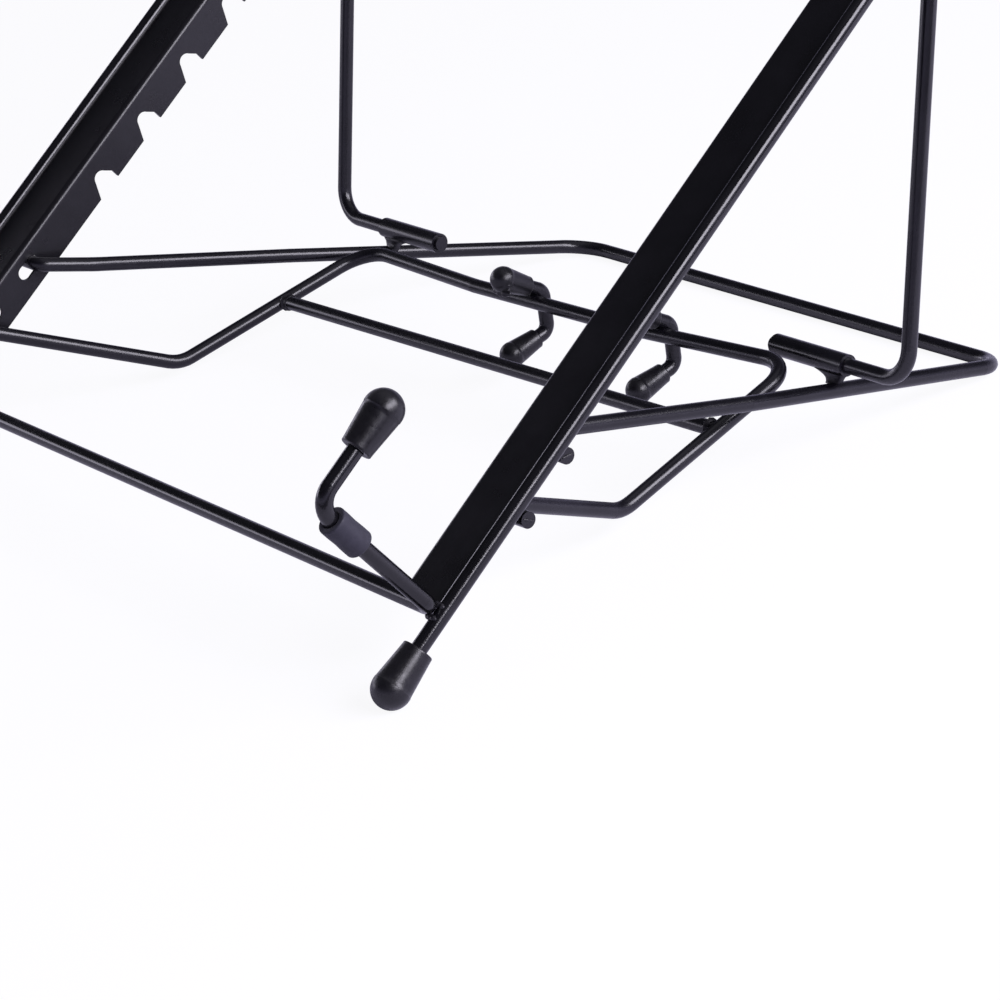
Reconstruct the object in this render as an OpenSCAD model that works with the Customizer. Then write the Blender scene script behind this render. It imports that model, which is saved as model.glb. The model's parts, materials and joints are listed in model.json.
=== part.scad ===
// Folding wire-frame desk stand: a leaning panel, a base frame, a prop frame
// that latches in notches of the panel, and a swinging frame with claw hooks.
// X runs across, +Y to the rear, +Z up.

/* [Wire] */
// Diameter of every bent wire
wire_d = 5.2; // [4.8:0.1:5.6]
// Thickness of the folded sheet channels
sheet_t = 1.2; // [1:0.1:1.6]
// Radial clearance of a wire that turns in a hole or a sleeve
pivot_clearance = 0.09; // [0.05:0.01:0.1]
// Gap between the prop bar and the points of the teeth
latch_gap = 0.3; // [0.3:0.1:0.6]
// How far a wire sinks into the wire it is welded to
weld_sink = 0.4; // [0.3:0.1:0.6]

/* [Panel] */
// Lean of the panel above the table, in degrees
panel_lean = 37.9; // [36:0.1:40]
// Distance between the centres of the two leg wires
leg_gap = 346.4; // [340:0.2:356]
// Length of a leg from the middle of its foot to the top bar
leg_len = 392; // [388:1:420]
// Bend radius of the panel wire at its top corners
panel_bend_r = 16; // [10:1:24]

/* [Channels] */
// Width of the channel from the leg wire's centre to its inner face
channel_w = 23.1; // [22.4:0.1:25]
// Depth of the folded flange, front to rear
flange_depth = 14.8; // [14.4:0.1:16]
// Where the channel starts along the leg
channel_start = 28.8; // [28.4:0.1:32]
// Inside radius of the fold
fold_r = 1; // [0.5:0.1:2]
// Upper pivot hole, measured along the leg
pivot_at = 87; // [84:0.1:90]
// Distance of both pivot holes behind the leg wire's centre
pivot_drop = 7.1; // [6.8:0.1:7.4]
// Step down from the upper pivot hole to the lower one
pivot_step = 23.2; // [21:0.1:25]
// Length by which the base frame's pivot holes are slotted towards the foot
slot_run = 4.7; // [3:0.1:6]
// Length by which the swing frame's pivot holes are slotted towards the foot
swing_slot_run = 7.3; // [5:0.1:8]
// How far a peg reaches past the channel's inner face
peg_reach = 20.5; // [18:0.1:21]

/* [Notches] */
// Lower lip of the first notch, measured from the upper pivot
notch_first = 34.4; // [32:0.1:37]
// Distance from one notch to the next
notch_pitch = 27.1; // [26:0.1:27.5]
// Number of notches in each channel
notch_count = 9; // [8:1:9]
// Number of the notch that the stand is set to
notch_used = 7; // [6:1:7]
// Width of a notch's mouth, along the leg
notch_mouth = 10.9; // [10:0.1:12]
// Middle of a notch's round root, above its lower lip along the leg
notch_root = 6; // [5:0.1:6.6]
// Depth of the middle of the root from the flange's rear edge
notch_deep = 5; // [4.6:0.1:5.4]
// Depth of a notch's straight upper side
notch_side = 3.3; // [3:0.1:4]
// Room around the prop bar in a root
notch_clearance = 0.35; // [0.3:0.05:0.5]

/* [Base frame] */
// Length of the base frame from its rear bar to the upper pivot
base_len = 228.8; // [224:0.1:233]
// Half width of the rails at the rear bar
rail_rear_x = 117; // [114:0.5:119]
// Half width of the rails where they bend
rail_bend_x = 134; // [133.5:0.1:134.5]
// Gap from a channel's inner face to the middle of the rail, where its flare begins
rail_gap = 9.7; // [9:0.1:10.5]
// Length of the rails' flare towards the channels, in front
rail_flare = 20; // [16:0.5:24]
// Where the rails bend, measured from the rear bar
rail_bend_at = 128.4; // [124:0.1:132]
// Bend radius of the rear corners
rear_bend_r = 14; // [10:1:18]
// Bend radius of the gentle bends in the rails
rail_bend_r = 20; // [15:1:25]
// Gap from a channel's inner face to the middle of the wire that runs into a peg
peg_gap = 4.3; // [4.2:0.1:5]
// Bend radius of every peg
peg_bend_r = 4; // [3.6:0.1:4.2]

/* [Prop] */
// Prop pivot, measured along the rails from the rear bar
prop_at = 86.1; // [82:0.1:88]
// Height of the prop pivot above the rails' centre line
prop_lift = 9; // [8.6:0.1:10]
// Distance of a prop upright outside a channel's inner face
prop_over = 10.9; // [10:0.1:12]
// Bend radius of the prop's corners
prop_bend_r = 11; // [8:0.5:12]
// Inner end of a pivot sleeve
sleeve_in_x = 97; // [94:0.5:100]
// Outer end of a pivot sleeve
sleeve_out_x = 132.5; // [131:0.5:134]
// Wall of a pivot sleeve
sleeve_wall = 1; // [0.9:0.1:1.2]
// Length of wire that shows past a sleeve's inner end
prop_tail = 1.5; // [1:0.5:3]
// Length across the stand of the gusset under a sleeve
gusset_w = 8; // [6:0.5:9]
// Thickness of the gusset
gusset_t = 3; // [2:0.5:4]

/* [Swing frame] */
// Reach of the swing frame's pegs outside a channel's inner face
swing_peg_reach = 22.5; // [20:0.1:24]
// Half width of the swing frame at its low corners
swing_low_x = 129.5; // [127:0.1:131]
// Distance of the low corners behind the lower pivot
swing_low_run = 66; // [63:0.1:69]
// Depth of the low corners below the lower pivot
swing_low_drop = 29.4; // [28:0.1:31]
// Half width of the swing frame at its upper corners
swing_high_x = 120.8; // [119:0.1:122]
// Distance of the upper corners in front of the prop's pivot
swing_high_gap = 12.3; // [11:0.1:14]
// Rise of the upper corners above the low corners
swing_high_rise = 21.3; // [20:0.1:24]
// Half width of the upper bar's straight middle
swing_mid_x = 46; // [42:0.5:50]
// Forward bow of the upper bar's middle
swing_bow = 5.7; // [5:0.1:9]
// Bend radius of the swing frame's corners
swing_bend_r = 14; // [10:0.5:16]
// Distance of the stretcher behind the low corners
stretcher_run = 45.6; // [40:0.1:50]

/* [Claw hooks] */
// Place of each claw hook across the stand
claw_x_a = -12; // [-16:0.5:-8]
claw_x_b = 57.5; // [54:0.5:62]
// Length of the upper prong
claw_up_len = 18.5; // [18:0.5:22]
// Slope of the upper prong above level, in degrees
claw_up_slope = 29; // [25:1:35]
// Drop of the claw's rear part below the bar
claw_drop = 12.2; // [11:0.1:13]
// Length of the lower prong
claw_low_len = 17; // [17:0.5:20]
// Slope of the lower prong below level, in degrees
claw_low_slope = 14; // [10:1:18]
// Bend radius of a claw
claw_bend_r = 4; // [3.6:0.1:4.2]

/* [Ledge wire] */
// Distance of the ledge wire from the middle of the foot, along the leg
ledge_at = 25.7; // [25:0.1:27]
// How far the ledge wire sinks into the leg wires it is welded to
ledge_sink = 0.9; // [0.8:0.1:1.3]
// Bend radius of the ledge wire beside the legs
ledge_bend_r = 4.5; // [4.2:0.1:4.8]
// Reach of the hooks in front of the ledge wire
hook_reach = 54.5; // [50:0.5:58]
// Length of a hook's upturned end, up to the middle of its cap's dome
hook_up = 33.6; // [32:0.1:38]
// Bend radius of a hook
hook_bend_r = 7; // [6:0.5:9]
// Length of the grip on a hook
grip_len = 13; // [10:0.5:15]
// Outside diameter of the grip
grip_d = 9.2; // [8.6:0.1:9.8]

/* [Rubber caps] */
// Dome diameter of the large caps
cap_d = 12.4; // [12:0.1:13.5]
// Mouth diameter of the large caps
cap_mouth_d = 9.8; // [9.2:0.1:10.4]
// Length of the large caps from the dome's centre to the mouth
cap_len = 13.8; // [12:0.1:15]
// Dome diameter of the small claw caps
tip_d = 9.4; // [9:0.1:9.8]
// Mouth diameter of the small claw caps
tip_mouth_d = 7.2; // [7:0.1:7.6]
// Length of the small caps from the dome's centre to the mouth
tip_len = 11.4; // [10:0.1:11.6]

/* [Hidden] */
$fn = 48;
BLACK = "#17151b";
RUBBER = "#0d0d0f";
GRIP = "#4b4956";

// A bend is drawn a hair thicker, and straights run a little way into it.
BEND_SWELL = 0.02;
BEND_LAP = 0.3;
// How far a cutter runs past what it cuts.
CUT_OVER = 1;
// Height of a cap's shoulder over its dome, as a share of its diameter.
SHOULDER = 0.12;
// The straight part of a slot is this much narrower than its round end.
SLOT_STEP = 0.1;

wire_r = wire_d / 2;
leg_x = leg_gap / 2;
foot_z = cap_d / 2;
flange_x = leg_x - channel_w;
peg_x = flange_x + peg_reach;
peg_root_x = flange_x - peg_gap;
rail_front_x = flange_x - rail_gap;
prop_x = flange_x + prop_over;
swing_peg_x = flange_x + swing_peg_reach;
ledge_out = wire_d - ledge_sink;
hook_out = ledge_out + hook_reach;

// The base frame slopes up from its rear bar to the upper pivot.
pivot_z = foot_z + pivot_at * sin(panel_lean) - pivot_drop * cos(panel_lean);
base_slope = asin((pivot_z - wire_r) / base_len);
pivot_y = -base_len * cos(base_slope);
foot_y = pivot_y - pivot_at * cos(panel_lean) - pivot_drop * sin(panel_lean);

// The prop bar rests right behind the teeth, under the notch in use.
seat_at = pivot_at + notch_first + notch_root + (notch_used - 1) * notch_pitch;
bar_rest = panel_point(0, seat_at, -flange_depth - latch_gap - wire_r);
prop_pivot = [
    0,
    -prop_at * cos(base_slope) + prop_lift * sin(base_slope),
    wire_r + prop_at * sin(base_slope) + prop_lift * cos(base_slope)
];

// The swing frame hangs askew: its right peg lies at the top of its slot, its left peg at
// the foot end. Its own frame has X along the pegs and its origin midway between them.
swing_right = panel_point(flange_x, pivot_at - pivot_step, -pivot_drop);
swing_left = panel_point(-flange_x, pivot_at - pivot_step - swing_slot_run, -pivot_drop);
swing_hub = (swing_left + swing_right) / 2;
swing_across = unit(swing_right - swing_left);
swing_back = unit(cross([0, 0, 1], swing_across));
swing_up = cross(swing_across, swing_back);

// The corners in the swing frame's own frame.
swing_high_run = prop_pivot.y - swing_high_gap - swing_hub.y;
low_point = [swing_low_x, swing_low_run, -swing_low_drop];
high_point = [swing_high_x, swing_high_run, swing_high_rise - swing_low_drop];
mid_point = [swing_mid_x, swing_high_run - swing_bow, high_point.z];

// The origin is under the middle of the whole stand, on the table.
hook_hub = panel_point(0, ledge_at + hook_bend_r, hook_out - hook_bend_r);
hook_front = hook_hub.y - hook_bend_r - wire_r - BEND_SWELL;
front_y = min(foot_y - foot_z, hook_front);
top_y = foot_y + leg_len * cos(panel_lean) + wire_r;
origin_y = (front_y + top_y) / 2;

function panel_point(x, along, out) = [
    x,
    foot_y + along * cos(panel_lean) - out * sin(panel_lean),
    foot_z + along * sin(panel_lean) + out * cos(panel_lean)
];
function base_point(x, along) =
    [x, -along * cos(base_slope), wire_r + along * sin(base_slope)];
function unit(v) = v / norm(v);
function mirrored(points) = [for (i = [len(points) - 1 : -1 : 0])
    [-points[i].x, points[i].y, points[i].z]];
function turn(a, b) = acos(max(-1, min(1, a * b)));
function setback(a, b, r) = r * tan(turn(a, b) / 2);
function high_bar(x) = x < mid_point.x
    ? [x, mid_point.y, mid_point.z]
    : mid_point + (high_point - mid_point) * (x - mid_point.x) / (high_point.x - mid_point.x);

// Where a line from point p touches a circle, on its left (way = 1) or right (way = -1).
function tangent(p, centre, r, way) =
    let (
        u = unit(p - centre),
        a = way * acos(r / norm(p - centre))
    )
    centre + r * [u.x * cos(a) - u.y * sin(a), u.x * sin(a) + u.y * cos(a)];

// Moves everything from the rear bar's frame to the part's frame.
module placed() {
    translate([0, -origin_y, 0]) children();
}

// Puts its children in the panel's own frame: X across, Y up the leg, Z out of the face.
module on_panel() {
    translate([0, foot_y, foot_z]) rotate([panel_lean, 0, 0]) children();
}

// Puts its children in the swing frame's own frame.
module on_swing() {
    multmatrix([
        [swing_across.x, swing_back.x, swing_up.x, swing_hub.x],
        [swing_across.y, swing_back.y, swing_up.y, swing_hub.y],
        [swing_across.z, swing_back.z, swing_up.z, swing_hub.z],
        [0, 0, 0, 1]
    ])
        children();
}

// A straight round bar between two points.
module bar(from, to, d) {
    run = to - from;
    axis = unit(run);
    tilt = acos(axis.z);
    heading = atan2(axis.y, axis.x);
    translate(from) rotate([0, tilt, heading]) cylinder(h = norm(run), d = d);
}

// A round bend of the wire at a corner where it turns from direction a to b.
module elbow(corner, a, b, r, d) {
    side = unit(b - (a * b) * a);
    hub = corner - a * setback(a, b, r) + side * r;
    up = cross(-side, a);
    multmatrix([
        [-side.x, a.x, up.x, hub.x],
        [-side.y, a.y, up.y, hub.y],
        [-side.z, a.z, up.z, hub.z],
        [0, 0, 0, 1]
    ])
        rotate_extrude(angle = turn(a, b)) translate([r, 0]) circle(d = d + 2 * BEND_SWELL);
}

// A wire through a list of points, with one bend radius for each inner point.
module wire(points, radii, d = wire_d) {
    last = len(points) - 1;
    dirs = [for (i = [0 : last - 1]) unit(points[i + 1] - points[i])];
    cuts = [for (i = [0 : last])
        i == 0 || i == last ? 0 : setback(dirs[i - 1], dirs[i], radii[i - 1]) - BEND_LAP];
    for (i = [0 : last - 1])
        bar(points[i] + dirs[i] * cuts[i], points[i + 1] - dirs[i] * cuts[i + 1], d);
    for (i = [1 : last - 1])
        elbow(points[i], dirs[i - 1], dirs[i], radii[i - 1], d);
}

// A rubber cap along +Z with its dome's centre at the origin and a blind bore.
module cap(dome_d, mouth_d, length) {
    difference() {
        rotate_extrude() {
            intersection() {
                circle(d = dome_d);
                translate([0, -dome_d]) square([dome_d, dome_d]);
            }
            polygon([
                [0, 0],
                [dome_d / 2, 0],
                [dome_d / 2, dome_d * SHOULDER],
                [mouth_d / 2, length],
                [0, length]
            ]);
        }
        cylinder(h = length + CUT_OVER, d = wire_d);
    }
}

// The panel's leg wires and top bar, bent from one wire.
module panel_hoop() {
    points = [
        [-leg_x, 0, 0],
        [-leg_x, leg_len, 0],
        [leg_x, leg_len, 0],
        [leg_x, 0, 0]
    ];
    color(BLACK) on_panel() wire(points, [panel_bend_r, panel_bend_r]);
}

// The room that a leg wire takes.
module leg_bore(side) {
    translate([side * leg_x, -CUT_OVER, 0]) rotate([-90, 0, 0]) cylinder(h = leg_len, d = wire_d);
}

// The ledge wire crosses both legs in front, and its ends turn forward and up as hooks.
module ledge_wire() {
    half = [
        [-leg_x, ledge_at + hook_up, hook_out],
        [-leg_x, ledge_at, hook_out],
        [-leg_x, ledge_at, ledge_out]
    ];
    color(BLACK) on_panel() difference() {
        wire(concat(half, mirrored(half)), [hook_bend_r, ledge_bend_r, ledge_bend_r, hook_bend_r]);
        for (side = [-1, 1]) leg_bore(side);
    }
}

// The channel's section: a face plate from the leg wire and a flange folded to the rear.
module channel_section() {
    corner_r = fold_r + sheet_t;
    translate([corner_r, -sheet_t]) square([channel_w - corner_r, sheet_t]);
    translate([0, -flange_depth]) square([sheet_t, flange_depth - corner_r]);
    translate([corner_r, -corner_r]) intersection() {
        difference() {
            circle(r = corner_r);
            circle(r = fold_r);
        }
        translate([-corner_r, 0]) square(corner_r);
    }
}

// A slot cutter through the flange: a round seat at the origin and a straight run from it.
module slot_cut(width, run) {
    straight = width - SLOT_STEP;
    rotate([0, 90, 0]) cylinder(h = 4 * sheet_t, d = width, center = true);
    translate([-2 * sheet_t, -run, -straight / 2]) cube([4 * sheet_t, run, straight]);
}

// A slotted pivot hole through the flange, with a round seat at each end.
module pivot_slot(run) {
    hole_d = wire_d + 2 * pivot_clearance;
    slot_cut(hole_d, run);
    translate([0, -run, 0]) rotate([0, 90, 0])
        cylinder(h = 4 * sheet_t, d = hole_d, center = true);
}

// A notch cutter from its lower lip: a slanted lower side, a round root, a square tooth.
module notch_cut() {
    root_r = wire_r + notch_clearance;
    hub = [notch_root, notch_deep];
    lip = [0, 0];
    shoulder = [notch_mouth, notch_side];
    rotate([90, 0, 90]) linear_extrude(height = 4 * sheet_t, center = true)
        polygon([
            [-CUT_OVER, -CUT_OVER],
            lip,
            tangent(lip, hub, root_r - SLOT_STEP / 2, -1),
            hub,
            tangent(shoulder, hub, root_r - SLOT_STEP / 2, 1),
            shoulder,
            [notch_mouth, -CUT_OVER]
        ]);
    translate([0, hub.x, hub.y]) rotate([0, 90, 0])
        cylinder(h = 4 * sheet_t, r = root_r, center = true);
}

module channel(side) {
    length = leg_len - panel_bend_r - channel_start;
    color(BLACK) on_panel() mirror([side < 0 ? 1 : 0, 0, 0]) difference() {
        translate([flange_x, channel_start, 0])
            rotate([90, 0, 0]) mirror([0, 0, 1])
                linear_extrude(height = length) channel_section();
        leg_bore(1);
        for (i = [0 : notch_count - 1])
            translate([flange_x, pivot_at + notch_first + i * notch_pitch, -flange_depth])
                notch_cut();
        translate([flange_x, pivot_at, -pivot_drop]) pivot_slot(slot_run);
        translate([flange_x, pivot_at - pivot_step, -pivot_drop]) pivot_slot(swing_slot_run);
    }
}

module channel_left() { channel(-1); }
module channel_right() { channel(1); }

// A grip sits on a hook's arm, right behind its upturned end.
module hook_grip(side) {
    color(GRIP) on_panel()
        translate([side * leg_x, ledge_at, hook_out - hook_bend_r - grip_len])
            difference() {
                cylinder(h = grip_len, d = grip_d);
                translate([0, 0, -CUT_OVER]) cylinder(h = grip_len + 2 * CUT_OVER, d = wire_d);
            }
}

module hook_grip_left() { hook_grip(-1); }
module hook_grip_right() { hook_grip(1); }

module hook_cap(side) {
    color(RUBBER) on_panel()
        translate([side * leg_x, ledge_at + hook_up, hook_out])
            rotate([90, 0, 0]) cap(cap_d, cap_mouth_d, cap_len);
}

module hook_cap_left() { hook_cap(-1); }
module hook_cap_right() { hook_cap(1); }

module foot_cap(side) {
    color(RUBBER) on_panel()
        translate([side * leg_x, 0, 0]) rotate([-90, 0, 0]) cap(cap_d, cap_mouth_d, cap_len);
}

module foot_cap_left() { foot_cap(-1); }
module foot_cap_right() { foot_cap(1); }

// The base frame: pegs, rails and rear bar, bent from one wire.
module base_frame() {
    half = [
        base_point(peg_x, base_len),
        base_point(peg_root_x, base_len),
        base_point(rail_front_x, base_len - rail_flare),
        base_point(rail_bend_x, rail_bend_at),
        base_point(rail_rear_x, 0)
    ];
    radii = [peg_bend_r, rail_bend_r, rail_bend_r, rear_bend_r];
    color(BLACK) wire(concat(half, mirrored(half)),
        concat(radii, [for (i = [3 : -1 : 0]) radii[i]]));
}

sleeve_d = wire_d + 2 * (pivot_clearance + sleeve_wall);
module sleeve_blank(side, d) {
    from = side > 0 ? sleeve_in_x : -sleeve_out_x;
    translate([from, prop_pivot.y, prop_pivot.z]) rotate([0, 90, 0])
        cylinder(h = sleeve_out_x - sleeve_in_x, d = d);
}

module pivot_sleeve(side) {
    color(BLACK) difference() {
        sleeve_blank(side, sleeve_d);
        translate([-leg_x, prop_pivot.y, prop_pivot.z]) rotate([0, 90, 0])
            cylinder(h = leg_gap, d = wire_d + 2 * pivot_clearance);
    }
}

module pivot_sleeve_left() { pivot_sleeve(-1); }
module pivot_sleeve_right() { pivot_sleeve(1); }

// The rail's straight part behind its bend.
module rear_rail(side) {
    bar(base_point(side * rail_bend_x, rail_bend_at), base_point(side * rail_rear_x, 0), wire_d);
}

// The gusset is a small plate that stands on the rail and carries the sleeve.
module sleeve_gusset(side) {
    rail_x = rail_rear_x + (rail_bend_x - rail_rear_x) * prop_at / rail_bend_at;
    top = prop_lift - wire_r - latch_gap;
    inner_x = sleeve_out_x - gusset_w;
    color(BLACK) difference() {
        translate(base_point(0, prop_at)) rotate([90 - base_slope, 0, 0])
            mirror([side < 0 ? 1 : 0, 0, 0])
                linear_extrude(height = gusset_t, center = true)
                    polygon([
                        [inner_x, top],
                        [inner_x, top - gusset_t / 2],
                        [rail_x - wire_r, 0],
                        [rail_x, 0],
                        [rail_x, top]
                    ]);
        sleeve_blank(side, sleeve_d);
        rear_rail(side);
    }
}

module sleeve_gusset_left() { sleeve_gusset(-1); }
module sleeve_gusset_right() { sleeve_gusset(1); }

// The prop frame: two feet that turn in the sleeves, two uprights and the latch bar.
module prop_frame() {
    half = [
        [sleeve_in_x - prop_tail, prop_pivot.y, prop_pivot.z],
        [prop_x, prop_pivot.y, prop_pivot.z],
        [prop_x, bar_rest.y, bar_rest.z]
    ];
    radii = [for (i = [0 : 3]) prop_bend_r];
    color(BLACK) wire(concat(half, mirrored(half)), radii);
}

// The swing frame: pegs in the lower holes, side runs, slanted sides and a bowed upper bar.
module swing_frame() {
    half = [
        [swing_peg_x, 0, 0],
        [peg_root_x, 0, 0],
        low_point,
        high_point,
        mid_point
    ];
    radii = [peg_bend_r, swing_bend_r, swing_bend_r, rail_bend_r];
    color(BLACK) on_swing()
        wire(concat(half, mirrored(half)), concat(radii, [for (i = [3 : -1 : 0]) radii[i]]));
}

// A slanted side of the swing frame.
module swing_side(side) {
    mirror([side < 0 ? 1 : 0, 0, 0]) bar(low_point, high_point, wire_d);
}

// The stretcher is welded between the slanted sides, end on.
module stretcher() {
    side = low_point + (high_point - low_point) * stretcher_run / (swing_high_run - swing_low_run);
    reach = side.x - wire_r + 2 * weld_sink;
    color(BLACK) on_swing() difference() {
        bar([-reach, side.y, side.z], [reach, side.y, side.z], wire_d);
        swing_side(-1);
        swing_side(1);
    }
}

// Claw hook points, seen from the place behind the upper bar where it is welded.
function claw_weld(x) = high_bar(x) + [0, wire_d - weld_sink, 0];
function claw_up_tip(x) = claw_weld(x)
    + claw_up_len * [0, -cos(claw_up_slope), sin(claw_up_slope)] + [0, 0, wire_r];
function claw_heel(x) = claw_weld(x) - [0, 0, claw_drop];
function claw_low_tip(x) = claw_heel(x)
    + claw_low_len * [0, -cos(claw_low_slope), -sin(claw_low_slope)];

module claw_hook(x) {
    points = [
        claw_up_tip(x),
        claw_weld(x) + [0, 0, wire_r],
        claw_heel(x),
        claw_low_tip(x)
    ];
    color(BLACK) on_swing() difference() {
        wire(points, [claw_bend_r, claw_bend_r]);
        bar(high_bar(-mid_point.x), high_bar(mid_point.x), wire_d);
        bar(high_bar(mid_point.x), high_bar(high_point.x), wire_d);
    }
}

module claw_hook_a() { claw_hook(claw_x_a); }
module claw_hook_b() { claw_hook(claw_x_b); }

module claw_cap_upper(x) {
    color(RUBBER) on_swing() translate(claw_up_tip(x))
        rotate([-90 - claw_up_slope, 0, 0]) cap(tip_d, tip_mouth_d, tip_len);
}

module claw_cap_lower(x) {
    color(RUBBER) on_swing() translate(claw_low_tip(x))
        rotate([-90 + claw_low_slope, 0, 0]) cap(tip_d, tip_mouth_d, tip_len);
}

module claw_cap_a_upper() { claw_cap_upper(claw_x_a); }
module claw_cap_a_lower() { claw_cap_lower(claw_x_a); }
module claw_cap_b_upper() { claw_cap_upper(claw_x_b); }
module claw_cap_b_lower() { claw_cap_lower(claw_x_b); }

placed() panel_hoop();
placed() ledge_wire();
placed() channel_left();
placed() channel_right();
placed() hook_grip_left();
placed() hook_grip_right();
placed() hook_cap_left();
placed() hook_cap_right();
placed() foot_cap_left();
placed() foot_cap_right();
placed() base_frame();
placed() pivot_sleeve_left();
placed() pivot_sleeve_right();
placed() sleeve_gusset_left();
placed() sleeve_gusset_right();
placed() prop_frame();
placed() swing_frame();
placed() stretcher();
placed() claw_hook_a();
placed() claw_hook_b();
placed() claw_cap_a_upper();
placed() claw_cap_a_lower();
placed() claw_cap_b_upper();
placed() claw_cap_b_lower();
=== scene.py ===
"""A folding wire desk stand: its finishes, rubber parts, weld beads, studio and camera."""
import json
import random
from math import cos, pi, radians, sin
import bmesh
import bpy
from mathutils import Matrix, Vector


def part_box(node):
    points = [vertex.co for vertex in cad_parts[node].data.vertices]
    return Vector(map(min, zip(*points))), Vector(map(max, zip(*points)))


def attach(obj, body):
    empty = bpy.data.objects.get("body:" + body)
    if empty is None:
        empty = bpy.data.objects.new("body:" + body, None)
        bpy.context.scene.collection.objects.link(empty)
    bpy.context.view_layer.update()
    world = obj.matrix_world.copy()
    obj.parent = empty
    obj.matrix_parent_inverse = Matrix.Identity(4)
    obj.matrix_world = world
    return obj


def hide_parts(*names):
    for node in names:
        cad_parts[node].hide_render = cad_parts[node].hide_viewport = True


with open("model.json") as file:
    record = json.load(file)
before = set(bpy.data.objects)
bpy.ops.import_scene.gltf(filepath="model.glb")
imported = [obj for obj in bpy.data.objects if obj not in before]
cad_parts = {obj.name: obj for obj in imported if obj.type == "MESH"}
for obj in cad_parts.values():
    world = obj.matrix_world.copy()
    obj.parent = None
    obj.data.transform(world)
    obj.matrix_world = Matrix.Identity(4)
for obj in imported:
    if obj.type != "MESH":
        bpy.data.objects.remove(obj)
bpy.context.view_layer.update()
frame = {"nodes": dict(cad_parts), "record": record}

RECORD = frame["record"]
NODES = frame["nodes"]
JOINTS = {joint["name"]: joint for joint in RECORD["behaviour"]["joints"]}
SWING = JOINTS["swing_fold"]

# The panel's lean comes from the face that things rest on: OUT is square to that face.
OUT = Vector(RECORD["mounts"][0]["axis"]).normalized()
UP_LEG = Vector((0, OUT.z, -OUT.y))
ACROSS = Vector((1, 0, 0))
SIDES = ((-1, "left"), (1, "right"))

# All sizes are in metres.
WIRE_R = 0.0026
SHEET_EDGE = 0.00005
WIRE_EDGE = 0.0004

# Rubber caps: the radius of the mouth and the length from the dome's middle, for the caps of the
# feet and hooks and for those of the claws. Then the lip's width and the room round the wire.
LARGE_CAP = (0.0049, 0.0138)
CLAW_CAP = (0.0036, 0.0114)
CAP_LIP = 0.0004
CAP_ROOM = 0.00006
# The mouths of the claws' caps face back, the upper ones turned down and the lower ones up.
CLAW_MOUTH_DOWN = radians(29)
CLAW_MOUTH_UP = radians(14)

# Rubber grips: length, rolled end, hollow of the waist and room round the wire.
GRIP_LEN = 0.013
GRIP_ROLL = 0.0005
GRIP_WAIST = 0.00012
GRIP_ROOM = 0.00005

# Weld beads, by what they join.
BEAD_R = 0.0011
CHANNEL_BEAD_R = BEAD_R * 0.9
CLAW_BEAD_R = BEAD_R * 1.25
STRETCHER_BEAD_R = WIRE_R * 1.22
PINCH_R = 0.0005
SEEDS = {
    "ledge": 10, "channel": 30, "web": 50, "stretcher": 60, "claw": 70,
    "pinch_base": 80, "pinch_swing": 81,
}

# The ledge wire crosses each leg LEDGE_AT above the foot's middle. A bead lies on each side of it.
LEDGE_AT = 0.0257
LEDGE_BEAD_STEP = 0.0021
LEDGE_BEAD_OUT = 0.0023
LEDGE_BEAD_RUN = (-0.0034, 0, 0.0016)

# Stitch welds up each channel: how many, the first one's start, their pitch, their run along the
# leg and their place behind the face.
STITCHES = 5
STITCH_START = 0.05
STITCH_PITCH = 0.075
STITCH_RUN = (0, 0.009, 0.018)
STITCH_OUT = -0.0018

# The web under each sleeve: the prop hinge's height above the rail's middle, then the web's two
# sides from the middle plane at the rail, how far each flares by the sleeve, its half thickness at
# the waist and what the ends add to it, where it starts above the rail's middle, and its height.
PROP_LIFT = 0.009
WEB_INNER = 0.1238
WEB_INNER_FLARE = 0.0068
WEB_OUTER = 0.1294
WEB_OUTER_FLARE = 0.0026
WEB_WAIST = 0.0016
WEB_END = 0.0007
WEB_START = 0.0019
WEB_HEIGHT = 0.0037

# Stretcher welds: how far each runs past the bar's end, and how far along the bar.
STRETCHER_PAST = 0.0012
STRETCHER_ALONG = 0.0046

# Claw welds: the gap from the swing frame's right side to its upper corner, how far the two rolls
# lie above and below their middle, their reach to either side, and the share of the first they
# lose per metre of the second.
CORNER_IN = 0.052
CLAW_BEAD_STEP = 0.0019
CLAW_BEAD_REACH = 0.0050
CLAW_BEAD_CLOSING = 40

# The pinched ends of the pegs: their distance from the hinge's middle, half the ridge's length, and
# its slope up from the level on the base frame and down from the swing frame's plane.
BASE_PEG = 0.1706
SWING_PEG = 0.1726
PINCH_HALF = 0.0020
BASE_PINCH_RISE = 0.08
SWING_PINCH_FALL = 0.45


# ---------------------------------------------------------------- shader helpers
def new_material(name):
    """An empty node material with a Principled shader."""
    mat = bpy.data.materials.new(name)
    mat.use_nodes = True
    tree = mat.node_tree
    tree.nodes.clear()
    out = tree.nodes.new("ShaderNodeOutputMaterial")
    shader = tree.nodes.new("ShaderNodeBsdfPrincipled")
    tree.links.new(shader.outputs["BSDF"], out.inputs["Surface"])
    return mat, tree, shader


def noise(tree, coords, scale, detail, rough):
    """Noise of a given scale, in cells per metre."""
    node = tree.nodes.new("ShaderNodeTexNoise")
    node.inputs["Scale"].default_value = scale
    node.inputs["Detail"].default_value = detail
    node.inputs["Roughness"].default_value = rough
    tree.links.new(coords, node.inputs["Vector"])
    return node.outputs["Fac"]


def ramp(tree, fac, stops):
    """A colour ramp from a list of (place, colour) stops."""
    node = tree.nodes.new("ShaderNodeValToRGB")
    band = node.color_ramp
    while len(band.elements) < len(stops):
        band.elements.new(1.0)
    for element, (place, colour) in zip(band.elements, stops):
        element.position = place
        element.color = (*colour, 1)
    tree.links.new(fac, node.inputs["Fac"])
    return node.outputs["Color"]


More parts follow.
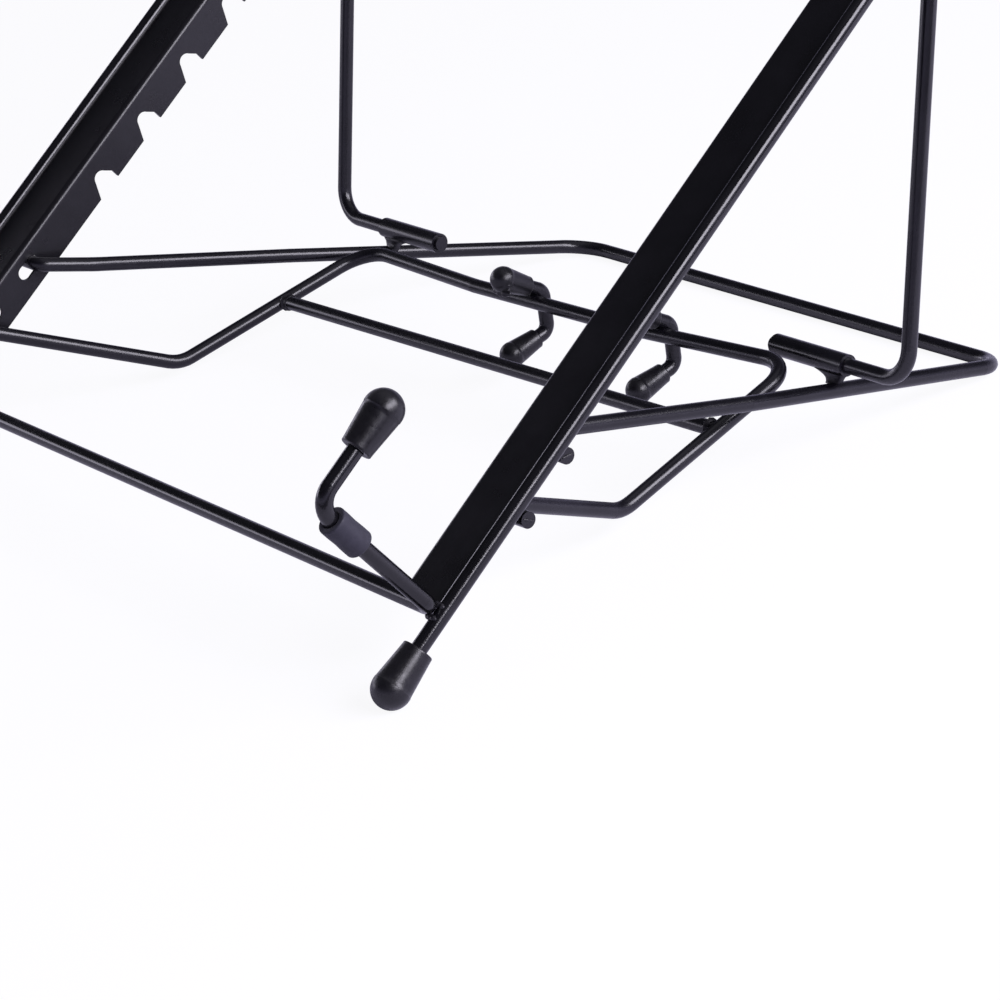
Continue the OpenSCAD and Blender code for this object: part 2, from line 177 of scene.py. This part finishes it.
def spread(tree, fac, low, high, from_low=0.3, from_high=0.7):
    """The value of fac, stretched from one range to another."""
    node = tree.nodes.new("ShaderNodeMapRange")
    node.inputs["From Min"].default_value = from_low
    node.inputs["From Max"].default_value = from_high
    node.inputs["To Min"].default_value = low
    node.inputs["To Max"].default_value = high
    tree.links.new(fac, node.inputs["Value"])
    return node.outputs["Result"]


def bump(tree, height, distance, strength, normal=None):
    """A bump of up to distance metres, laid over another one if a normal is given."""
    node = tree.nodes.new("ShaderNodeBump")
    node.inputs["Strength"].default_value = strength
    node.inputs["Distance"].default_value = distance
    tree.links.new(height, node.inputs["Height"])
    if normal:
        tree.links.new(normal, node.inputs["Normal"])
    return node.outputs["Normal"]


# ---------------------------------------------------------------- materials
def coated_steel(name, low, high, shine, lacquer):
    """Satin black powder coat: a fine orange peel, faint specks and uneven gloss."""
    mat, tree, shader = new_material(name)
    coords = tree.nodes.new("ShaderNodeTexCoord").outputs["Object"]
    blotch = noise(tree, coords, scale=55, detail=3, rough=0.6)
    peel = noise(tree, coords, scale=1500, detail=2, rough=0.5)
    specks = noise(tree, coords, scale=3800, detail=1, rough=0.4)
    colour = ramp(tree, blotch, [(0.32, low), (0.68, high)])
    tree.links.new(colour, shader.inputs["Base Color"])
    rough = spread(tree, blotch, low=shine, high=shine + 0.06)
    tree.links.new(rough, shader.inputs["Roughness"])
    fine = bump(tree, specks, distance=0.00002, strength=0.35)
    skin = bump(tree, peel, distance=0.00006, strength=0.45, normal=fine)
    tree.links.new(skin, shader.inputs["Normal"])
    shader.inputs["Specular IOR Level"].default_value = 0.5
    shader.inputs["Coat Weight"].default_value = lacquer
    shader.inputs["Coat Roughness"].default_value = 0.08
    return mat


def moulded_rubber(name, low, high, rough_low, rough_high, grain):
    """Moulded rubber: a dull skin with pores, a dusty bloom and handling marks."""
    mat, tree, shader = new_material(name)
    coords = tree.nodes.new("ShaderNodeTexCoord").outputs["Object"]
    bloom = noise(tree, coords, scale=180, detail=4, rough=0.65)
    pores = noise(tree, coords, scale=2600, detail=3, rough=0.6)
    scuffs = noise(tree, coords, scale=620, detail=5, rough=0.7)
    colour = ramp(tree, bloom, [(0.3, low), (0.72, high)])
    tree.links.new(colour, shader.inputs["Base Color"])
    rough = spread(tree, scuffs, low=rough_low, high=rough_high)
    tree.links.new(rough, shader.inputs["Roughness"])
    fine = bump(tree, pores, distance=0.00004, strength=grain)
    skin = bump(tree, scuffs, distance=0.00012, strength=0.3, normal=fine)
    tree.links.new(skin, shader.inputs["Normal"])
    shader.inputs["Specular IOR Level"].default_value = 0.5
    shader.inputs["Sheen Weight"].default_value = 0.12
    shader.inputs["Sheen Roughness"].default_value = 0.4
    return mat


def weld_metal(name):
    """A weld bead under the same coat, a little rougher and more uneven."""
    mat, tree, shader = new_material(name)
    coords = tree.nodes.new("ShaderNodeTexCoord").outputs["Object"]
    lumps = noise(tree, coords, scale=900, detail=4, rough=0.6)
    colour = ramp(tree, lumps, [(0.3, (0.0035, 0.0032, 0.0046)), (0.7, (0.011, 0.0100, 0.014))])
    tree.links.new(colour, shader.inputs["Base Color"])
    rough = spread(tree, lumps, low=0.3, high=0.52)
    tree.links.new(rough, shader.inputs["Roughness"])
    tree.links.new(bump(tree, lumps, distance=0.0002, strength=0.5), shader.inputs["Normal"])
    return mat


PANEL_COAT = coated_steel(
    "panel_coat", low=(0.0020, 0.0018, 0.0028), high=(0.0048, 0.0045, 0.0062),
    shine=0.16, lacquer=0.12)
WIRE_COAT = coated_steel(
    "wire_coat", low=(0.0022, 0.0020, 0.0034), high=(0.0054, 0.0049, 0.0078),
    shine=0.23, lacquer=0.05)
SHEET_COAT = coated_steel(
    "sheet_coat", low=(0.0038, 0.0035, 0.0047), high=(0.0060, 0.0056, 0.0076),
    shine=0.26, lacquer=0.04)
WELD = weld_metal("weld_coat")
CAP_RUBBER = moulded_rubber(
    "cap_rubber", low=(0.0022, 0.0020, 0.0031), high=(0.0055, 0.0051, 0.0075),
    rough_low=0.24, rough_high=0.42, grain=0.35)
GRIP_RUBBER = moulded_rubber(
    "grip_rubber", low=(0.014, 0.0132, 0.023), high=(0.023, 0.0218, 0.036),
    rough_low=0.6, rough_high=0.8, grain=0.6)


def finish_of(name):
    """The material of a CAD node, told by its name."""
    if "grip" in name:
        return GRIP_RUBBER
    if "cap" in name:
        return CAP_RUBBER
    if name in ("panel_hoop", "ledge_wire"):
        return PANEL_COAT
    return SHEET_COAT if name.startswith("channel") else WIRE_COAT


def paint_nodes():
    """Gives every CAD node its finish, and breaks the sharp edges of sheet and cut wire."""
    for name in NODES:
        obj = bpy.data.objects[name]
        mat = finish_of(name)
        for place in obj.material_slots:
            place.material = mat
        if mat not in (CAP_RUBBER, GRIP_RUBBER):
            soften(obj, SHEET_EDGE if mat is SHEET_COAT else WIRE_EDGE)


def soften(obj, width):
    """A small round on each sharp edge, drawn by a modifier."""
    edge = obj.modifiers.new("edge_break", "BEVEL")
    edge.width = width
    edge.segments = 3
    edge.limit_method = "ANGLE"
    edge.angle_limit = radians(50)


# ---------------------------------------------------------------- mesh helpers
def mesh_object(name, bm, mat, body):
    """Turns a bmesh into a smooth piece that rides on a body."""
    bmesh.ops.recalc_face_normals(bm, faces=bm.faces)
    mesh = bpy.data.meshes.new(name)
    bm.to_mesh(mesh)
    bm.free()
    for face in mesh.polygons:
        face.use_smooth = True
    mesh.materials.append(mat)
    obj = bpy.data.objects.new(name, mesh)
    bpy.context.scene.collection.objects.link(obj)
    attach(obj, body)
    return obj


def frame_on(axis):
    """Two directions square to an axis and to each other."""
    axis = axis.normalized()
    side = axis.cross(ACROSS)
    if side.length < 0.1:
        side = axis.cross(Vector((0, 0, 1)))
    side.normalize()
    return side, axis.cross(side).normalized()


def lathe(name, profile, hub, axis, mat, body, steps=72):
    """Turns a profile of (radius, height) points about an axis through hub."""
    side, other = frame_on(axis)
    axis = axis.normalized()
    bm = bmesh.new()
    rings = []
    for radius, height in profile:
        centre = hub + axis * height
        if radius < 1e-6:
            rings.append([bm.verts.new(centre)])
            continue
        turns = [2 * pi * i / steps for i in range(steps)]
        rings.append([
            bm.verts.new(centre + side * radius * cos(t) + other * radius * sin(t))
            for t in turns
        ])
    for lower, upper in zip(rings, rings[1:]):
        bridge(bm, lower, upper)
    return mesh_object(name, bm, mat, body)


def bridge(bm, lower, upper):
    """Joins two rings, or a ring and a point."""
    if len(lower) == 1 or len(upper) == 1:
        ring = upper if len(lower) == 1 else lower
        tip = lower[0] if len(lower) == 1 else upper[0]
        for i in range(len(ring)):
            bm.faces.new((tip, ring[i], ring[(i + 1) % len(ring)]))
        return
    count = len(lower)
    for i in range(count):
        j = (i + 1) % count
        bm.faces.new((lower[i], lower[j], upper[j], upper[i]))


def close_rings(bm, rings):
    """Joins each ring to the next and fills the first and the last."""
    for lower, upper in zip(rings, rings[1:]):
        bridge(bm, lower, upper)
    for ring in (rings[0], rings[-1]):
        bm.faces.new(ring)


# ---------------------------------------------------------------- rubber parts
def cap_profile(dome_r, mouth_r, length):
    """A cap's outline: a round dome, a moulding step, a slim taper, a soft lip and a bore."""
    step = dome_r * 0.02
    taper_r = dome_r - step
    taper_at = dome_r * 0.14
    taper_len = length - CAP_LIP * 2 - taper_at
    taper_rows = 9
    points = [(dome_r * sin(radians(a)), -dome_r * cos(radians(a))) for a in range(0, 91, 6)]
    points[-1] = (dome_r, 0)
    points += [
        (dome_r, dome_r * 0.10),
        (dome_r - step * 0.3, dome_r * 0.13),
        (taper_r, taper_at),
    ]
    for i in range(1, taper_rows):
        share = i / taper_rows
        points.append((taper_r + (mouth_r - taper_r) * share, taper_at + taper_len * share))
    points += [
        (mouth_r, length - CAP_LIP * 1.6),
        (mouth_r, length - CAP_LIP * 0.6),
        (mouth_r - CAP_LIP * 0.5, length),
        (WIRE_R + CAP_LIP * 0.6, length),
        (WIRE_R + CAP_ROOM, length - CAP_LIP),
        (WIRE_R + CAP_ROOM, length - 3 * WIRE_R),
    ]
    return points


def cap_hub(node, toward):
    """The middle and radius of a cap's dome, from its box. toward is where the dome points."""
    low, high = (Vector(corner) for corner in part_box(node))
    radius = (high.x - low.x) / 2
    hub = (low + high) / 2
    for i in (1, 2):
        hub[i] = low[i] + radius if toward[i] < 0 else high[i] - radius
    return hub, radius


def add_cap(node, mouth_way, size, body):
    """A cap in place of its CAD solid. size is the mouth's radius and the length."""
    hub, radius = cap_hub(node, -mouth_way)
    profile = cap_profile(radius, *size)
    piece = lathe(node + "_skin", profile, hub, mouth_way, CAP_RUBBER, body)
    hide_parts(node)


def add_grip(side):
    """A grip with rolled ends and a bore that shows its wall."""
    node = "hook_grip_" + side
    low, high = (Vector(corner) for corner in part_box(node))
    radius = (high.x - low.x) / 2
    base = (low + high) / 2 - OUT * GRIP_LEN / 2
    bore = WIRE_R + GRIP_ROOM
    turns = [radians(a) for a in range(0, 91, 15)]
    end = [(bore, GRIP_LEN * 0.3), (bore, GRIP_ROLL)]
    end += [(bore + GRIP_ROLL * (1 - cos(t)), GRIP_ROLL * (1 - sin(t))) for t in turns]
    end += [(radius - GRIP_ROLL + GRIP_ROLL * sin(t), GRIP_ROLL * (1 - cos(t))) for t in turns]
    waist = [
        (radius, GRIP_LEN * 0.25),
        (radius - GRIP_WAIST, GRIP_LEN * 0.5),
        (radius, GRIP_LEN * 0.75),
    ]
    profile = end + waist + [(r, GRIP_LEN - h) for r, h in reversed(end)]
    piece = lathe(node + "_skin", profile, base, OUT, GRIP_RUBBER, "panel")
    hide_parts(node)


def rubber_parts():
    """The caps and grips of the panel, and the caps of the claws."""
    for side in ("left", "right"):
        add_cap("foot_cap_" + side, UP_LEG, LARGE_CAP, "panel")
        add_cap("hook_cap_" + side, -UP_LEG, LARGE_CAP, "panel")
        add_grip(side)
    _, back, up = swing_ways()
    upper = back * cos(CLAW_MOUTH_DOWN) - up * sin(CLAW_MOUTH_DOWN)
    lower = back * cos(CLAW_MOUTH_UP) + up * sin(CLAW_MOUTH_UP)
    for claw in ("a", "b"):
        add_cap(f"claw_cap_{claw}_upper", upper, CLAW_CAP, "swing")
        add_cap(f"claw_cap_{claw}_lower", lower, CLAW_CAP, "swing")


# ---------------------------------------------------------------- weld beads
def bead(name, points, radius, body, seed):
    """A weld bead: a short rippled roll of metal along a few points, thin at its ends."""
    rng = random.Random(seed)
    phase = rng.uniform(0, 6)
    sides = 12
    rows = 22
    waves = len(points) * 7
    bm = bmesh.new()
    rings = []
    for i in range(rows + 1):
        share = i / rows
        centre, along = on_path(points, share)
        side, other = frame_on(along)
        swell = max(0.05, sin(pi * min(max(share, 0.02), 0.98)) ** 0.4)
        ripple = 1 + 0.10 * sin(share * waves + phase)
        size = radius * swell * ripple
        ring = []
        for k in range(sides):
            t = 2 * pi * k / sides
            lump = 1 + rng.uniform(-0.05, 0.05)
            ring.append(bm.verts.new(centre + (side * cos(t) + other * sin(t)) * size * lump))
        rings.append(ring)
    close_rings(bm, rings)
    mesh_object(name, bm, WELD, body)


def on_path(points, share):
    """A point and direction at a share of the way along a list of points."""
    spans = [(b - a).length for a, b in zip(points, points[1:])]
    want = share * sum(spans)
    for a, b, span in zip(points, points[1:], spans):
        if want <= span or b is points[-1]:
            return a + (b - a) * min(want / span, 1), (b - a).normalized()
        want -= span


def on_leg(x, along, out):
    """A place beside a leg wire, measured from the middle of its foot."""
    hub, _ = cap_hub("foot_cap_left", -UP_LEG)
    return Vector((x, hub.y, hub.z)) + UP_LEG * along + OUT * out


def leg_x():
    """How far each leg wire's middle is from the middle plane."""
    low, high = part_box("foot_cap_right")
    return (low[0] + high[0]) / 2


def panel_welds():
    """The welds that hold the ledge wire and the channels to the legs."""
    x = leg_x()
    for sign, side in SIDES:
        # The ledge wire against the leg wire, above and below.
        for k, step in enumerate((-LEDGE_BEAD_STEP, LEDGE_BEAD_STEP)):
            points = [
                on_leg(sign * (x + dx), LEDGE_AT + step, LEDGE_BEAD_OUT)
                for dx in LEDGE_BEAD_RUN
            ]
            bead(f"weld_ledge_{side}_{k}", points, BEAD_R, "panel", SEEDS["ledge"] + k)
        # Stitch welds between the channel and the leg wire, behind the face.
        for k in range(STITCHES):
            start = STITCH_START + k * STITCH_PITCH
            points = [
                on_leg(sign * (x - WIRE_R), start + run, STITCH_OUT)
                for run in STITCH_RUN
            ]
            seed = SEEDS["channel"] + k
            bead(f"weld_channel_{side}_{k}", points, CHANNEL_BEAD_R, "panel", seed)


def swing_ways():
    """The swing frame's own directions: across, back and up."""
    across = Vector(SWING["axis"]).normalized()
    back = Vector((0, 0, 1)).cross(across).normalized()
    return across, back, across.cross(back)


def base_ways():
    """Along the rails towards the front, and up from them."""
    rear_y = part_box("base_frame")[1][1]
    rear = Vector((0, rear_y - WIRE_R, WIRE_R))
    along = (Vector(JOINTS["panel_fold"]["pos_m"]) - rear).normalized()
    return along, along.cross(ACROSS)


def boxier(turn):
    """A sine or cosine pushed towards one or minus one, which squares off a round outline."""
    return abs(turn) ** 0.7 * (1 if turn > 0 else -1)


def sleeve_web(sign, side):
    """The weld-filled web between a rail and a sleeve: narrow at the rail, wide at the sleeve."""
    along, up = base_ways()
    foot = Vector(JOINTS["prop_fold"]["pos_m"]) - up * PROP_LIFT
    rng = random.Random(SEEDS["web"] + sign)
    rows = 10
    sides = 28
    bm = bmesh.new()
    rings = []
    for i in range(rows + 1):
        share = i / rows
        inner = WEB_INNER - WEB_INNER_FLARE * share ** 2.4
        outer = WEB_OUTER + WEB_OUTER_FLARE * share
        half = WEB_WAIST + WEB_END * (2 * share - 1) ** 2
        rise = WEB_START + WEB_HEIGHT * share
        centre = foot + ACROSS * sign * (inner + outer) / 2 + up * rise
        ring = []
        for k in range(sides):
            t = 2 * pi * k / sides
            wide = (outer - inner) / 2 * boxier(cos(t))
            deep = half * boxier(sin(t))
            lump = 1 + rng.uniform(-0.025, 0.025)
            ring.append(bm.verts.new(centre + (ACROSS * wide + along * deep) * lump))
        rings.append(ring)
    close_rings(bm, rings)
    mesh_object("web_sleeve_" + side, bm, WELD, "base")


def stretcher_welds():
    """A collar of weld where each end of the stretcher meets the swing frame."""
    low, high = (Vector(corner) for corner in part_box("stretcher"))
    across = swing_ways()[0]
    left = Vector((low.x, low.y + WIRE_R, low.z + WIRE_R))
    right = Vector((high.x, high.y - WIRE_R, high.z - WIRE_R))
    for sign, side, place in ((1, "left", left), (-1, "right", right)):
        way = across * sign
        points = [place - way * STRETCHER_PAST, place + way * STRETCHER_ALONG]
        seed = SEEDS["stretcher"] + sign
        bead("weld_stretcher_" + side, points, STRETCHER_BEAD_R, "swing", seed)


def claw_welds():
    """Two rolls of weld across the tip of each claw's upper prong, partly inside its cap.

    They are misplaced. The claw meets the upper bar about 15 mm behind them and 9 mm below: the
    frame's top is its right peg, not the bar, and the claw's front is its prongs' tips.
    """
    across, _, up = swing_ways()
    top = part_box("swing_frame")[1]
    for claw in ("a", "b"):
        low, high = (Vector(corner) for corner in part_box("claw_hook_" + claw))
        x = (low.x + high.x) / 2
        drop = (top[0] - CORNER_IN - x) * across.z / across.x
        middle = Vector((x, low.y, top[2] - WIRE_R - drop))
        for k, rise in enumerate((-CLAW_BEAD_STEP, CLAW_BEAD_STEP)):
            points = [
                middle + across * dx + up * rise * (1 - abs(dx) * CLAW_BEAD_CLOSING)
                for dx in (-CLAW_BEAD_REACH, 0, CLAW_BEAD_REACH)
            ]
            bead(f"weld_claw_{claw}_{k}", points, CLAW_BEAD_R, "swing", SEEDS["claw"] + k)


def peg_pinches():
    """The low ridge that a cutter leaves across the end of each peg."""
    across, back, up = swing_ways()
    for sign, side in SIDES:
        pegs = (
            ("base", JOINTS["panel_fold"]["pos_m"], ACROSS * sign * BASE_PEG,
             Vector((0, 1, BASE_PINCH_RISE))),
            ("swing", SWING["pos_m"], across * sign * SWING_PEG, back - up * SWING_PINCH_FALL),
        )
        for body, hinge, reach, ridge in pegs:
            place = Vector(hinge) + reach
            way = ridge.normalized() * PINCH_HALF
            seed = SEEDS["pinch_" + body]
            bead(f"pinch_{body}_{side}", [place - way, place + way], PINCH_R, body, seed)


# ---------------------------------------------------------------- studio
# What the camera sees of the backdrop and the floor, and how much of the floor's shading stays.
BACKDROP = (0.985, 0.985, 0.995, 1)
FLOOR_GLOW = 1.06
FLOOR_SHADING = 0.12
FLOOR_COLOUR = (0.80, 0.78, 0.90)
# Half the floor's side, how far it reaches in front of the stand, and how far it lies below zero.
FLOOR_HALF = 5
FLOOR_FRONT = 0.45
FLOOR_DROP = 0.0002
LIGHT_TINT = (0.91, 0.88, 1.0)
# The light of the world from straight down (0) over the horizon (0.5) to straight up (1).
SKY = [
    (0.46, (0.03, 0.03, 0.04)),
    (0.50, (0.66, 0.62, 0.88)),
    (0.57, (0.52, 0.49, 0.72)),
    (0.67, (0.04, 0.04, 0.05)),
    (0.86, (0.04, 0.04, 0.05)),
    (0.97, (0.12, 0.12, 0.14)),
]
# The camera: its turn about the stand, height, roll and place, and its lens in millimetres.
AZIMUTH = radians(56.28)
ELEVATION = radians(21.35)
ROLL = radians(7.46)
CAMERA_AT = Vector((0.9798, -0.6408, 0.4289))
LENS = 129.53
SENSOR = 36
FAR_CLIP = 20


def add_camera():
    """The camera, at the angle of a view from the stand's right and a little above."""
    data = bpy.data.cameras.new("camera")
    data.lens = LENS
    data.sensor_width = SENSOR
    data.clip_end = FAR_CLIP
    obj = bpy.data.objects.new("camera", data)
    turn = Matrix.Rotation(AZIMUTH, 4, "Z") @ Matrix.Rotation(pi / 2 - ELEVATION, 4, "X")
    obj.matrix_world = Matrix.Translation(CAMERA_AT) @ turn @ Matrix.Rotation(-ROLL, 4, "Z")
    bpy.context.scene.collection.objects.link(obj)
    bpy.context.scene.camera = obj


def add_panel_light(name, place, target, width, height, power):
    """A soft box at a place, turned towards a target. Its power is in watts."""
    data = bpy.data.lights.new(name, "AREA")
    data.shape = "RECTANGLE"
    data.size = width
    data.size_y = height
    data.energy = power
    data.color = LIGHT_TINT
    obj = bpy.data.objects.new(name, data)
    way = (Vector(target) - Vector(place)).to_track_quat("-Z", "Y")
    obj.matrix_world = Matrix.Translation(Vector(place)) @ way.to_matrix().to_4x4()
    bpy.context.scene.collection.objects.link(obj)


def seen_as_white(name, shade, keep):
    """A pale surface that the camera sees nearly white. keep is the share of real shading."""
    mat, tree, shader = new_material(name)
    shader.inputs["Base Color"].default_value = (*shade, 1)
    shader.inputs["Roughness"].default_value = 0.9
    shader.inputs["Specular IOR Level"].default_value = 0.1
    white = tree.nodes.new("ShaderNodeEmission")
    white.inputs["Color"].default_value = BACKDROP
    white.inputs["Strength"].default_value = FLOOR_GLOW
    path = tree.nodes.new("ShaderNodeLightPath")
    share = tree.nodes.new("ShaderNodeMath")
    share.operation = "MULTIPLY"
    share.inputs[1].default_value = 1 - keep
    mix = tree.nodes.new("ShaderNodeMixShader")
    out = next(n for n in tree.nodes if n.type == "OUTPUT_MATERIAL")
    tree.links.new(path.outputs["Is Camera Ray"], share.inputs[0])
    tree.links.new(share.outputs[0], mix.inputs["Fac"])
    tree.links.new(shader.outputs["BSDF"], mix.inputs[1])
    tree.links.new(white.outputs["Emission"], mix.inputs[2])
    tree.links.new(mix.outputs["Shader"], out.inputs["Surface"])
    return mat


def add_floor():
    """A pale floor that reaches far behind the stand and ends a little way in front of it."""
    bm = bmesh.new()
    bmesh.ops.create_grid(bm, x_segments=2, y_segments=2, size=FLOOR_HALF)
    mesh = bpy.data.meshes.new("floor")
    bm.to_mesh(mesh)
    bm.free()
    mesh.materials.append(seen_as_white("floor_white", FLOOR_COLOUR, FLOOR_SHADING))
    floor = bpy.data.objects.new("floor", mesh)
    ahead = Vector((sin(AZIMUTH), -cos(AZIMUTH), 0))
    floor.location = ahead * (FLOOR_FRONT - FLOOR_HALF) + Vector((0, 0, -FLOOR_DROP))
    floor.rotation_euler.z = AZIMUTH
    bpy.context.scene.collection.objects.link(floor)


def add_world():
    """White for the camera. For light it is a pale band at the horizon under a dark sky."""
    world = bpy.data.worlds.new("studio")
    bpy.context.scene.world = world
    world.use_nodes = True
    tree = world.node_tree
    tree.nodes.clear()
    out = tree.nodes.new("ShaderNodeOutputWorld")
    coords = tree.nodes.new("ShaderNodeTexCoord").outputs["Generated"]
    split = tree.nodes.new("ShaderNodeSeparateXYZ")
    tree.links.new(coords, split.inputs["Vector"])
    height = spread(tree, split.outputs["Z"], low=0, high=1, from_low=-1, from_high=1)
    band = ramp(tree, height, SKY)
    sky = tree.nodes.new("ShaderNodeBackground")
    tree.links.new(band, sky.inputs["Color"])
    white = tree.nodes.new("ShaderNodeBackground")
    white.inputs["Color"].default_value = BACKDROP
    path = tree.nodes.new("ShaderNodeLightPath")
    mix = tree.nodes.new("ShaderNodeMixShader")
    tree.links.new(path.outputs["Is Camera Ray"], mix.inputs["Fac"])
    tree.links.new(sky.outputs["Background"], mix.inputs[1])
    tree.links.new(white.outputs["Background"], mix.inputs[2])
    tree.links.new(mix.outputs["Shader"], out.inputs["Surface"])


def add_studio():
    """Three soft boxes, the floor and the world."""
    middle = (0, 0, 0.08)
    right_leg = (0.16, 0.0, 0.2)
    add_panel_light(
        "strip_right", (1.35, 0.44, 0.86), right_leg, width=1.7, height=0.70, power=42)
    add_panel_light(
        "low_left", (-1.25, -0.50, 0.26), middle, width=1.5, height=0.30, power=3.5)
    add_panel_light("key_over", (0.2, 0.5, 1.7), middle, width=2.0, height=1.6, power=2.5)
    add_floor()
    add_world()
    bpy.context.scene.view_settings.view_transform = "Standard"


paint_nodes()
rubber_parts()
panel_welds()
for turn, hand in SIDES:
    sleeve_web(turn, hand)
stretcher_welds()
claw_welds()
peg_pinches()
add_camera()
add_studio()
